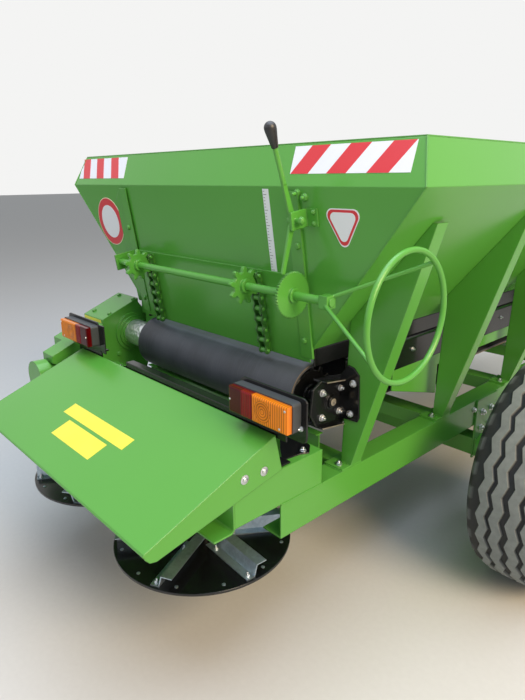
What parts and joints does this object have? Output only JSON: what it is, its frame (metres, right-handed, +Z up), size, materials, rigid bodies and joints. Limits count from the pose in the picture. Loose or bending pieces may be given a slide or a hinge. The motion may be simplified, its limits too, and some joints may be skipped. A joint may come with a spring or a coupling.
{
  "type": "lime spreader",
  "caption": "Towed single-axle lime spreader: sloping hopper with floor belt, chain-lifted rear gate with handwheel, twin spreading discs under a cover, ribbed tyres and drawbar.",
  "frame": {"origin": "on the ground in the middle of the bounding box", "axes": "+X to the machine's right, +Y forward to the drawbar eye, +Z up"},
  "size_m": [2.291, 4.8336, 1.6656],
  "materials": {
    "green_paint": "gloss",
    "black_paint": "satin",
    "belt_rubber": "matt",
    "tyre": "matt",
    "rim_paint": "satin",
    "galvanised": "spangled",
    "bare_steel": "machined",
    "black_plastic": "matt",
    "red_lens": "gloss",
    "amber_lens": "gloss"
  },
  "bodies": {
    "frame": {"axle_beam": "green_paint", "axle_brackets": "green_paint", "bearing_plates": "black_paint", "belt_beams": "green_paint", "belt_bed": "bare_steel", "belt_drive_case": "green_paint", "belt_drive_gear": "green_paint", "belt_sides": "black_paint", "belt_skirts": "black_paint", "carrier_arms": "green_paint", "carrier_crossbar": "green_paint", "centre_gearbox": "green_paint", "disc_cover": "green_paint", "disc_gearboxes": "green_paint", "drawbar_arms": "green_paint", "drawbar_eye": "green_paint", "drawbar_head": "green_paint", "drum_front": "bare_steel", "drum_rear": "bare_steel", "floor_belt": "belt_rubber", "frame_cross_members": "green_paint", "frame_rails": "green_paint", "gate_guides": "green_paint", "gear_plate": "green_paint", "hopper_ribs": "green_paint", "hopper_rim": "green_paint", "hopper_wall_front": "green_paint", "hopper_wall_left": "green_paint", "hopper_wall_rear": "green_paint", "hopper_wall_right": "green_paint", "jack": "bare_steel", "lamp_bar": "black_paint", "lamp_housings": "black_paint", "lamp_lenses_amber": "amber_lens", "lamp_lenses_red": "red_lens", "lever_bracket": "green_paint", "lift_bearings": "green_paint", "return_rollers": "bare_steel", "shaft_bearings": "green_paint"},
    "gate": {"gate_plate": "green_paint", "gate_racks": "green_paint"},
    "lift_shaft": {"lift_shaft": "green_paint", "lift_sprockets": "green_paint", "ratchet_disc": "green_paint", "handwheel": "green_paint"},
    "pawl_lever": {"pawl_lever": "green_paint", "lever_knob": "black_plastic"},
    "drive_shaft": {"drive_shaft": "bare_steel"},
    "disc_right": {"disc_right": "black_paint", "disc_vanes_right": "galvanised"},
    "disc_left": {"disc_left": "black_paint", "disc_vanes_left": "galvanised"},
    "wheel_right": {"tyre_right": "tyre", "wheel_rim_right": "rim_paint", "wheel_hub_right": "black_paint"},
    "wheel_left": {"tyre_left": "tyre", "wheel_rim_left": "rim_paint", "wheel_hub_left": "black_paint"}
  },
  "joints": [
    {"name": "gate_slide", "type": "slide", "parent": "frame", "child": "gate", "axis": [0, -0.1531, 0.9882], "range_m": [0, 0.2]},
    {"name": "lift_shaft_turn", "type": "hinge", "parent": "frame", "child": "lift_shaft", "pos_m": [0, -1.8096, 1.19145], "axis": [1, 0, 0], "range_deg": [0, 211]},
    {"name": "pawl_lever_swing", "type": "hinge", "parent": "frame", "child": "pawl_lever", "pos_m": [0.518, -1.81275, 1.40751], "axis": [1, 0, 0], "range_deg": [-15, 0]},
    {"name": "disc_right_spin", "type": "hinge", "parent": "frame", "child": "disc_right", "pos_m": [0.319, -2.0275, 0.378], "axis": [0, 0, 1], "continuous": true},
    {"name": "disc_left_spin", "type": "hinge", "parent": "frame", "child": "disc_left", "pos_m": [-0.319, -2.0275, 0.378], "axis": [0, 0, 1], "continuous": true},
    {"name": "drive_shaft_spin", "type": "hinge", "parent": "frame", "child": "drive_shaft", "pos_m": [0, -0.3775, 0.62], "axis": [0, 1, 0], "continuous": true},
    {"name": "wheel_right_spin", "type": "hinge", "parent": "frame", "child": "wheel_right", "pos_m": [0.992, -0.8555, 0.4445], "axis": [1, 0, 0], "continuous": true},
    {"name": "wheel_left_spin", "type": "hinge", "parent": "frame", "child": "wheel_left", "pos_m": [-0.992, -0.8555, 0.4445], "axis": [1, 0, 0], "continuous": true}
  ],
  "couplings": [
    {"joint": "lift_shaft_turn", "follows": "gate_slide", "rad_per_m": 18.324},
    {"joint": "disc_left_spin", "follows": "disc_right_spin", "ratio": -1},
    {"joint": "drive_shaft_spin", "follows": "disc_right_spin", "ratio": 1}
  ]
}
